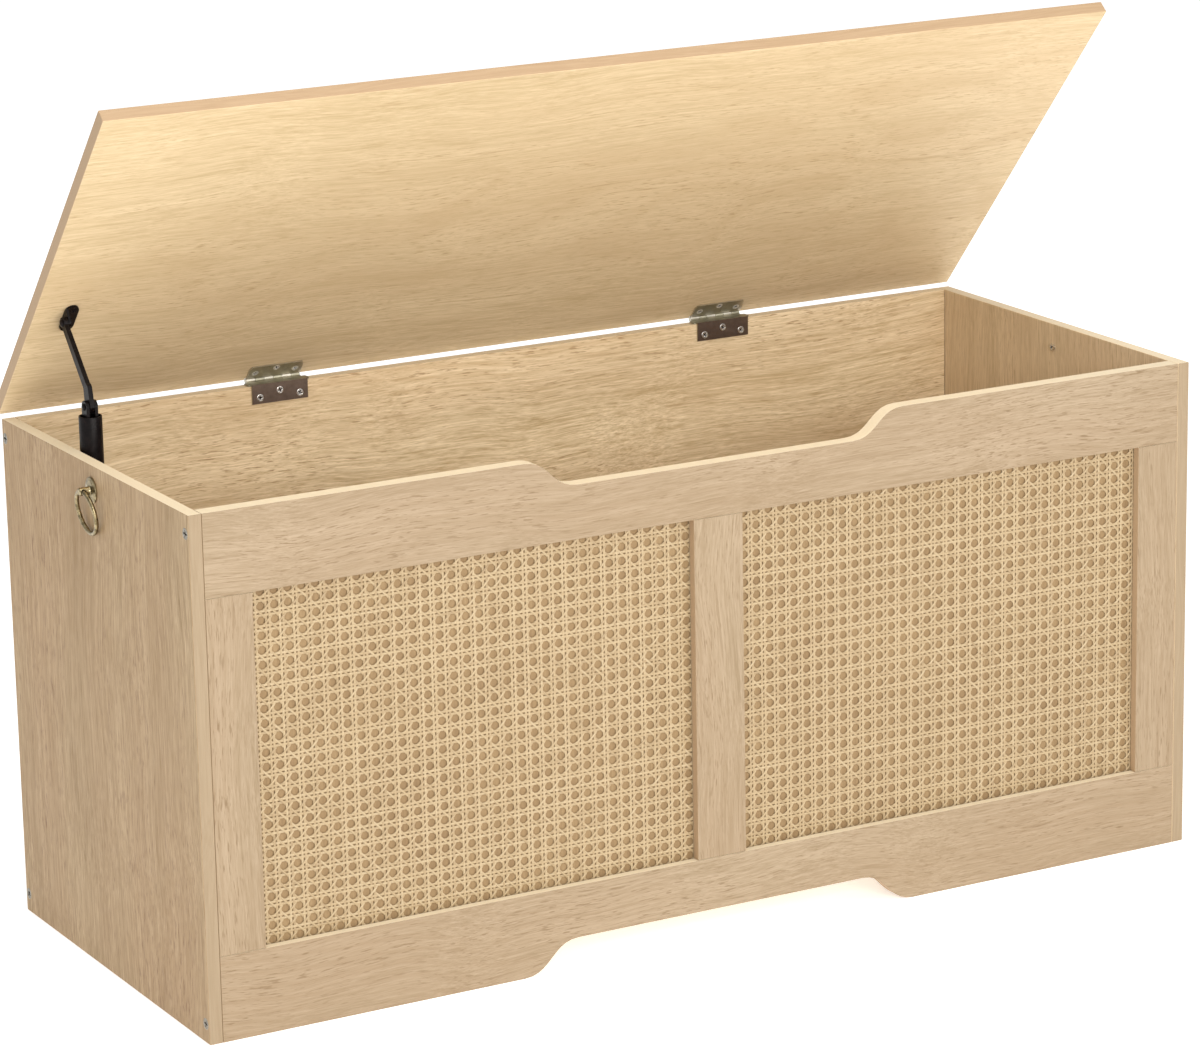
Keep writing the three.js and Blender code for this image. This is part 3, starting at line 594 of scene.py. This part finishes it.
def aim(point, direction, spin=0.0):
    """A placement whose +Z points along `direction` at `point`."""
    turn = Vector(direction).to_track_quat("Z", "Y").to_matrix().to_4x4()
    return Matrix.Translation(Vector(point)) @ turn @ Matrix.Rotation(spin, 4, "Z")


def rounded(radius, low, high, fillet):
    """Profile points of a cylinder with rounded rims, without its points on the axis."""
    steps = 4
    points = []
    for step in range(steps + 1):
        turn = math.pi / 2 * step / steps
        points.append((radius - fillet + fillet * math.sin(turn), low + fillet - fillet * math.cos(turn)))
    for step in range(steps + 1):
        turn = math.pi / 2 * step / steps
        points.append((radius - fillet + fillet * math.cos(turn), high - fillet + fillet * math.sin(turn)))
    return points


def turned_piece(node, profile, place, sides):
    """A turned solid for a node. A profile that ends where it starts, off the axis, makes a hollow one."""
    name = f"fine_{node}"
    bm = bmesh.new()
    turned(bm, profile, sides, place)
    if profile[0] == profile[-1]:
        bmesh.ops.remove_doubles(bm, verts=bm.verts, dist=0.001 * MM)
    bmesh.ops.recalc_face_normals(bm, faces=bm.faces)
    piece(name, mesh_from(bm, name), node, 40.0)


# ---- boards -------------------------------------------------------------------------------


def make_boards():
    for node, (grain, face, shift, base, edges, radius, strength) in BOARDS.items():
        material = oak(f"oak_{node}", grain, face, shift, base, edges, strength)
        softened(node, radius * MM, BOARD_SEGMENTS, BOARD_SHORTEST, BOARD_ANGLE, material)


# ---- cane ---------------------------------------------------------------------------------


class Strands:
    """Collects the strands of one panel of webbing into a single mesh."""

    FRONT = Vector((0, -1, 0))

    def __init__(self, seed):
        self.random = random.Random(seed)
        self.verts = []
        self.faces = []
        self.strand = []
        self.along = []
        self.across = []

    def add(self, path, width):
        """Adds a strand whose middle follows `path`. Its front is narrower than its back."""
        tone = self.random.random()
        base = len(self.verts)
        travelled = self.random.random() * 3.0
        half = width / 2
        count = len(path)
        for index, point in enumerate(path):
            before = path[max(index - 1, 0)]
            after = path[min(index + 1, count - 1)]
            travelled += (point - before).length
            direction = (after - before).normalized()
            flat = Vector((direction.x, 0, direction.z)).normalized()
            side = flat.cross(self.FRONT)
            rise = side.cross(direction).normalized()
            corners = (
                (-0.70 * half, CANE_THICK / 2, 0.15),
                (0.70 * half, CANE_THICK / 2, 0.85),
                (half, -CANE_THICK / 2, 1.0),
                (-half, -CANE_THICK / 2, 0.0),
            )
            for offset, lift, share in corners:
                self.verts.append(point + side * offset + rise * lift)
                self.strand.append(tone)
                self.along.append(travelled)
                self.across.append(share)
        for index in range(count - 1):
            for corner in range(4):
                first = base + 4 * index + corner
                second = base + 4 * index + (corner + 1) % 4
                self.faces.append((first, second, second + 4, first + 4))
        last = base + 4 * (count - 1)
        self.faces.append((base + 3, base + 2, base + 1, base))
        self.faces.append((last, last + 1, last + 2, last + 3))

    def mesh(self, name):
        made = bpy.data.meshes.new(name)
        made.from_pydata(self.verts, [], self.faces)
        for key in ("strand", "along", "across"):
            made.attributes.new(key, "FLOAT", "POINT").data.foreach_set("value", getattr(self, key))
        return made


def woven(low, high, origin, wave, rise):
    """(position, height) points from `low` to `high` of a strand that repeats `wave` in every cell."""
    waves = []
    cell = math.floor((low - origin) / CANE_PITCH) - 1
    while origin + cell * CANE_PITCH < high + CANE_PITCH:
        centre = origin + cell * CANE_PITCH
        for offset, height in wave:
            waves.append((centre + offset, height * rise))
        cell += 1
    return clipped(waves, low, high)


def clipped(waves, low, high):
    """The part of a (position, height) list between two positions, with points at both ends."""
    kept = []
    for (here, height), (there, next_height) in zip(waves, waves[1:]):
        for end in (low, high):
            if here < end < there:
                share = (end - here) / (there - here)
                kept.append((end, height + share * (next_height - height)))
        if low < there < high:
            kept.append((there, next_height))
    return kept


def lattice_lines(low, high, origin):
    """The middles of the webbing's pairs between two positions."""
    first = math.ceil((low - origin) / CANE_PITCH)
    last = math.floor((high - origin) / CANE_PITCH)
    return [origin + index * CANE_PITCH for index in range(first, last + 1)]


def weave(side):
    """One panel of webbing: upright pairs, level pairs and the diagonals both ways."""
    node = f"{side}_cane_panel"
    low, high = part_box(node)
    middle = (low.y + high.y) / 2
    phase_x, phase_z = CANE_PHASE[side]
    origin_x = low.x + phase_x * CANE_PITCH
    origin_z = low.z + phase_z * CANE_PITCH
    strands = Strands(f"cane {side}")
    jitter = random.Random(f"jitter {side}")
    inset = CANE_STRAND / 2

    for centre in lattice_lines(low.x + CANE_PITCH / 4, high.x - CANE_PITCH / 4, origin_x):
        for sign in (-1, 1):
            x = centre + sign * CANE_PAIR
            if not low.x + inset < x < high.x - inset:
                continue
            lean = jitter.uniform(-CANE_LEAN, CANE_LEAN)
            waves = woven(low.z, high.z, origin_z, PAIR_WAVE, sign * CANE_PAIR_RISE)
            strands.add([Vector((x + lean, middle - rise, z)) for z, rise in waves], CANE_STRAND)
    for centre in lattice_lines(low.z + CANE_PITCH / 4, high.z - CANE_PITCH / 4, origin_z):
        for sign in (-1, 1):
            z = centre + sign * CANE_PAIR
            if not low.z + inset < z < high.z - inset:
                continue
            lean = jitter.uniform(-CANE_LEAN, CANE_LEAN)
            waves = woven(low.x, high.x, origin_x, PAIR_WAVE, -sign * CANE_PAIR_RISE)
            strands.add([Vector((x, middle - rise, z + lean)) for x, rise in waves], CANE_STRAND)
    for slope in (1, -1):
        add_diagonals(strands, slope, low, high, middle, origin_x, origin_z)
    piece(f"woven_{side}_cane", strands.mesh(f"woven_{side}_cane"), node, 60.0)


def add_diagonals(strands, slope, low, high, middle, origin_x, origin_z):
    """Diagonals cross the upright pairs halfway between the level pairs, and the other way round."""
    margin = CANE_DIAGONAL / 2
    left, right = low.x + margin, high.x - margin
    bottom, top = low.z + margin, high.z - margin
    base = origin_z - slope * origin_x + CANE_PITCH / 2
    reach = (right - left) + (top - bottom)
    count = int(reach / CANE_PITCH) + 4
    for index in range(-count, count + 1):
        start = base + index * CANE_PITCH
        ends = sorted(((bottom - start) / slope, (top - start) / slope))
        x_low, x_high = max(left, ends[0]), min(right, ends[1])
        if x_high - x_low < CANE_SHORTEST:
            continue
        waves = woven(x_low, x_high, origin_x, DIAGONAL_WAVE, slope * CANE_DIAGONAL_RISE)
        path = [Vector((x, middle - rise, start + slope * x)) for x, rise in waves]
        strands.add(path, CANE_DIAGONAL)


def make_panes():
    """The webbing of both panels, and the material of the CAD boards behind it."""
    for side in ("left", "right"):
        weave(side)
        node = f"{side}_backing_board"
        materials = frame["nodes"][node].data.materials
        materials.clear()
        materials.append(finish_of(node))


# ---- screws -------------------------------------------------------------------------------


def cross_depth(x, y, reach, half, depth):
    """Depth of a cross recess at a point of the head: sloping arms that meet in a deep centre."""
    across, along = sorted((abs(x), abs(y)))
    if along > reach or across > half:
        return 0.0
    side = min(1.0, (half - across) / (0.35 * half))
    end = min(1.0, (reach - along) / (0.45 * reach))
    return depth * side * (0.35 + 0.65 * end) * min(1.0, end * 4)


def screw_piece(node, place, size, length):
    """A countersunk screw. The head's face is at z = 0 of its placement and the tip at -length."""
    head, shank, taper, dome = (value * MM for value in size)
    sides = SCREW_SIDES
    lip = SCREW_LIP
    bm = bmesh.new()
    # Each vertex's recess value marks how deep it lies in the cross recess; the metal paints shade there.
    recess = bm.verts.layers.float.new("recess")
    rings = []
    for share in SCREW_RINGS:
        rings.append([head_point(share * (head - lip), step, head, dome) for step in range(sides)])
    centre = bm.verts.new(place @ Vector(rings[0][0]))
    centre[recess] = 1.0
    loops = [[bm.verts.new(place @ Vector(point)) for point in ring] for ring in rings[1:]]
    for ring, loop in zip(rings[1:], loops):
        for point, vertex in zip(ring, loop):
            depth = dome * (1 - (math.hypot(point[0], point[1]) / head) ** 2) - point[2]
            vertex[recess] = min(1.0, depth / (0.1 * head))
    outline = [(head - lip, 0.0), (head, -lip), (head - 0.05 * MM, -2 * lip), (shank, -taper)]
    outline += [(shank, -length + 2 * shank), (0.25 * shank, -length)]
    for radius, height in outline:
        circle = [circle_point(radius, height, step, sides) for step in range(sides)]
        loops.append([bm.verts.new(place @ point) for point in circle])
    for step in range(sides):
        bm.faces.new((centre, loops[0][step], loops[0][(step + 1) % sides]))
    for inner, outer in zip(loops, loops[1:]):
        for step in range(sides):
            after = (step + 1) % sides
            bm.faces.new((inner[step], outer[step], outer[after], inner[after]))
    bm.faces.new(list(reversed(loops[-1])))
    bmesh.ops.recalc_face_normals(bm, faces=bm.faces)
    name = f"fine_{node}"
    piece(name, mesh_from(bm, name), node, 50.0)


def head_point(radius, step, head, dome):
    """A point of the head's face, sunk where the cross recess is."""
    turn = 2 * math.pi * step / SCREW_SIDES
    x, y = radius * math.cos(turn), radius * math.sin(turn)
    crown = dome * (1 - (radius / head) ** 2)
    return (x, y, crown - cross_depth(x, y, RECESS_REACH * head, RECESS_HALF * head, RECESS_DEPTH * head))


def lid_box(node):
    """A lid node's box in the lid's own frame: the hinge axis is at the origin, and the lid lies flat."""
    back = LID_FRAME.inverted()
    points = [back @ vertex.co for vertex in frame["nodes"][node].data.vertices]
    low = Vector(min(point[axis] for point in points) for axis in range(3))
    high = Vector(max(point[axis] for point in points) for axis in range(3))
    return low, high


def make_screws():
    spins = random.Random("screw slots")
    for node in sorted(frame["nodes"]):
        if "screw" not in node:
            continue
        spin = spins.uniform(0, math.pi / 2)
        on_lid = NODE_BODY[node] == "lid"
        low, high = lid_box(node) if on_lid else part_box(node)
        x, y, z = (low + high) / 2
        outwards = 1 if x > 0 else -1
        inner, outer = (low.x, high.x) if x > 0 else (high.x, low.x)
        if "pull" in node:
            place = aim((inner, y, z), (-outwards, 0, 0), spin)
            screw_piece(node, place, PULL_SCREW, high.x - low.x)
        elif on_lid:
            place = LID_FRAME @ aim((x, y, low.z), (0, 0, -1), spin)
            screw_piece(node, place, STAY_SCREW if "stay" in node else HINGE_SCREW, high.z - low.z)
        elif "hinge" in node:
            place = aim((x, low.y, z), (0, -1, 0), spin)
            screw_piece(node, place, HINGE_SCREW, high.y - low.y)
        elif "stay" in node:
            place = aim((high.x, y, z), (1, 0, 0), spin)
            screw_piece(node, place, STAY_SCREW, high.x - low.x)
        else:
            place = aim((outer, y, z), (outwards, 0, 0), spin)
            screw_piece(node, place, CORNER_SCREW, high.x - low.x)


# ---- ring pulls ---------------------------------------------------------------------------


def ring_mesh(name, centre, normal, radius):
    """A round wire bent into a ring of the given middle radius."""
    bm = bmesh.new()
    place = aim(centre, normal)
    loops = []
    for step in range(RING_STEPS):
        turn = 2 * math.pi * step / RING_STEPS
        loop = []
        for part in range(WIRE_STEPS):
            tilt = 2 * math.pi * part / WIRE_STEPS
            reach = radius + RING_WIRE * math.cos(tilt)
            point = Vector((reach * math.cos(turn), reach * math.sin(turn), RING_WIRE * math.sin(tilt)))
            loop.append(bm.verts.new(place @ point))
        loops.append(loop)
    for step in range(RING_STEPS):
        here, there = loops[step], loops[(step + 1) % RING_STEPS]
        for part in range(WIRE_STEPS):
            after = (part + 1) % WIRE_STEPS
            bm.faces.new((here[part], there[part], there[after], here[after]))
    bmesh.ops.recalc_face_normals(bm, faces=bm.faces)
    return mesh_from(bm, name)


def make_ring(node, pivot, sign):
    """The ring hangs from its pivot, leaning towards the side panel."""
    low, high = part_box(node)
    radius = (high.y - low.y) / 2 - RING_WIRE - RING_INSET
    drop = pivot.z - (low.z + high.z) / 2
    lean = math.acos(min(1.0, drop / radius))
    centre = pivot + Vector((-sign * radius * math.sin(lean), 0, -radius * math.cos(lean)))
    normal = Vector((math.cos(lean), 0, -sign * math.sin(lean)))
    piece(f"fine_{node}", ring_mesh(f"fine_{node}", centre, normal, radius), node, 60)


def make_plate(node, pivot, sign):
    """The round backplate, stepped down from its middle to its rim."""
    low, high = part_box(node)
    wall = high.x if sign < 0 else low.x
    thick = high.x - low.x
    reach = (high.z - low.z) / 2
    profile = [(PLATE_BORE, 0.0)]
    profile += [(reach - inset * MM, height * MM) for inset, height in PLATE_STEPS]
    profile += [(reach - 4.0 * MM, thick - 0.08 * MM), (reach - 5.0 * MM, thick)]
    profile += [(PLATE_BORE, thick), (PLATE_BORE, 0.0)]
    turned_piece(node, profile, aim((wall, pivot.y, pivot.z), (sign, 0, 0)), 64)


def make_pulls():
    for side, sign in (("left", -1), ("right", 1)):
        pivot = Vector(JOINTS[f"{side}_ring_swing"]["pos_m"])
        make_ring(f"{side}_pull_ring", pivot, sign)
        make_plate(f"{side}_pull_plate", pivot, sign)
        softened(f"{side}_pull_post", 0.12 * MM, 2, METAL_SHORTEST, METAL_ANGLE)


# ---- stay and hinges ----------------------------------------------------------------------


def make_sleeve():
    low, high, middle = node_box("stay_sleeve")
    height = high.z - low.z
    profile = rounded((high.x - low.x) / 2, 0.0, height, SLEEVE_FILLET)
    profile += [(SLEEVE_BORE + SLEEVE_CHAMFER, height), (SLEEVE_BORE, height - SLEEVE_CHAMFER)]
    profile += [(SLEEVE_BORE, SLEEVE_CHAMFER), (SLEEVE_BORE + SLEEVE_CHAMFER, 0.0), profile[0]]
    turned_piece("stay_sleeve", profile, aim((middle.x, middle.y, low.z), (0, 0, 1)), 72)


def make_guide_rod():
    low, high, middle = node_box("stay_guide_rod")
    height = high.z - low.z
    profile = [(0, 0)] + rounded((high.x - low.x) / 2, 0.0, height, ROD_FILLET) + [(0, height)]
    turned_piece("stay_guide_rod", profile, aim((middle.x, middle.y, low.z), (0, 0, 1)), 64)


def make_fork_pin():
    """The pin through the fork, with a domed head outside each ear."""
    low, high, middle = node_box("stay_fork_pin")
    half = (high.x - low.x) / 2
    head = [(1.8 * MM, -half + 0.15 * MM), (2.7 * MM, -half + 0.6 * MM), (3.1 * MM, -PIN_EARS)]
    mirrored = [(radius, -height) for radius, height in reversed(head)]
    shank = [(PIN_SHANK, -PIN_EARS), (PIN_SHANK, PIN_EARS)]
    profile = [(0, -half)] + head + shank + mirrored + [(0, half)]
    turned_piece("stay_fork_pin", profile, aim(middle, (1, 0, 0)), 40)


def make_rivet():
    low, high, middle = node_box("stay_arm_rivet")
    length = high.x - low.x
    profile = [(0, 0), (1.6 * MM, 0.1 * MM), (2.8 * MM, 0.6 * MM), (3.5 * MM, 1.6 * MM)]
    profile += [(PIN_SHANK, 1.6 * MM), (PIN_SHANK, length), (0, length)]
    turned_piece("stay_arm_rivet", profile, aim((low.x, middle.y, middle.z), (1, 0, 0)), 40)


def make_stay():
    make_sleeve()
    make_guide_rod()
    make_fork_pin()
    make_rivet()
    softened("stay_arm", 0.5 * MM, 3, METAL_SHORTEST, METAL_ANGLE)
    softened("stay_fork", 0.3 * MM, 2, METAL_SHORTEST, METAL_ANGLE)
    softened("stay_lid_bracket", 0.3 * MM, 2, METAL_SHORTEST, METAL_ANGLE)
    softened("stay_wall_bracket", 0.4 * MM, 2, METAL_SHORTEST, METAL_ANGLE)


def make_box_leaf(node):
    """The leaf on the back panel: olive all over, apart from the front of its plate, which is painted brown as
    painted shade.
    """
    leaf = softened(node, 0.2 * MM, 2, HINGE_SHORTEST, METAL_ANGLE, HINGE_OLIVE_SHADED)
    leaf.data.materials.append(HINGE_BROWN_SHADED)
    plate_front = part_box(node)[0].y
    # Painted shade: the faces of the plate's front take the darker brown copy.
    for face in leaf.data.polygons:
        if face.normal.y < -0.9 and face.center.y < plate_front + PLATE_FRONT_DEPTH:
            face.material_index = 1


def make_hinge_pin(node):
    low, high, middle = node_box(node)
    length = high.x - low.x
    profile = [(0, 0)] + rounded(HINGE_PIN, 0.0, length, HINGE_PIN_FILLET) + [(0, length)]
    turned_piece(node, profile, aim((low.x, middle.y, middle.z), (1, 0, 0)), 32)


def make_hinges():
    for side in ("left", "right"):
        make_box_leaf(f"{side}_hinge_box_leaf")
        softened(f"{side}_hinge_lid_leaf", 0.2 * MM, 2, HINGE_SHORTEST, METAL_ANGLE)
        make_hinge_pin(f"{side}_hinge_pin")


# ---- stage --------------------------------------------------------------------------------


def make_floor():
    """A wide pale floor, with a weak even glow that keeps it white."""
    bm = bmesh.new()
    half = FLOOR_HALF
    corners = [(-half, -half, 0), (half, -half, 0), (half, half, 0), (-half, half, 0)]
    bm.faces.new([bm.verts.new(corner) for corner in corners])
    floor = bpy.data.objects.new("studio_floor", mesh_from(bm, "studio_floor"))
    bpy.context.scene.collection.objects.link(floor)
    floor.location.z = -FLOOR_DROP
    graph = Graph("studio_floor")
    tone = graph.noise(graph.coordinates(), 1.2, 2, 0.4)
    colour = graph.ramp(tone, [(0.3, FLOOR_DARK), (0.7, FLOOR_LIGHT)])
    graph.shader.inputs["Emission Color"].default_value = rgba(1.0, 1.0, 1.0)
    graph.shader.inputs["Emission Strength"].default_value = FLOOR_GLOW
    floor.data.materials.append(graph.shade(Base_Color=colour, Roughness=0.9))


def area_light(name, place, target, size, power, colour):
    light = bpy.data.lights.new(name, "AREA")
    light.shape = "RECTANGLE"
    light.size, light.size_y = size
    light.energy = power
    light.color = colour
    made = bpy.data.objects.new(name, light)
    bpy.context.scene.collection.objects.link(made)
    made.location = place
    made.rotation_euler = (Vector(target) - Vector(place)).to_track_quat("-Z", "Y").to_euler()


def make_light():
    world = bpy.data.worlds.new("studio")
    bpy.context.scene.world = world
    world.use_nodes = True
    background = world.node_tree.nodes["Background"]
    background.inputs["Color"].default_value = rgba(1.0, 1.0, 1.0)
    background.inputs["Strength"].default_value = WORLD_STRENGTH
    for lamp in LAMPS:
        area_light(*lamp)


def make_camera():
    yaw, pitch, roll = (math.radians(angle) for angle in (CAMERA_YAW, CAMERA_PITCH, CAMERA_ROLL))
    forward = Vector((math.sin(yaw) * math.cos(pitch), math.cos(yaw) * math.cos(pitch), math.sin(pitch)))
    level = Vector((math.cos(yaw), -math.sin(yaw), 0))
    upright = level.cross(forward)
    right = math.cos(roll) * level + math.sin(roll) * upright
    up = -math.sin(roll) * level + math.cos(roll) * upright
    lens = bpy.data.cameras.new("camera")
    lens.sensor_fit = "HORIZONTAL"
    lens.sensor_width = CAMERA_SENSOR
    lens.lens = CAMERA_LENS
    lens.clip_end = CAMERA_CLIP_END
    camera = bpy.data.objects.new("camera", lens)
    bpy.context.scene.collection.objects.link(camera)
    axes = Matrix((right, up, -forward)).transposed().to_4x4()
    camera.matrix_world = Matrix.Translation(Vector(CAMERA_PLACE)) @ axes
    bpy.context.scene.camera = camera


make_boards()
make_panes()
make_screws()
make_pulls()
make_stay()
make_hinges()
make_floor()
make_light()
make_camera()
bpy.context.scene.view_settings.view_transform = "Standard"
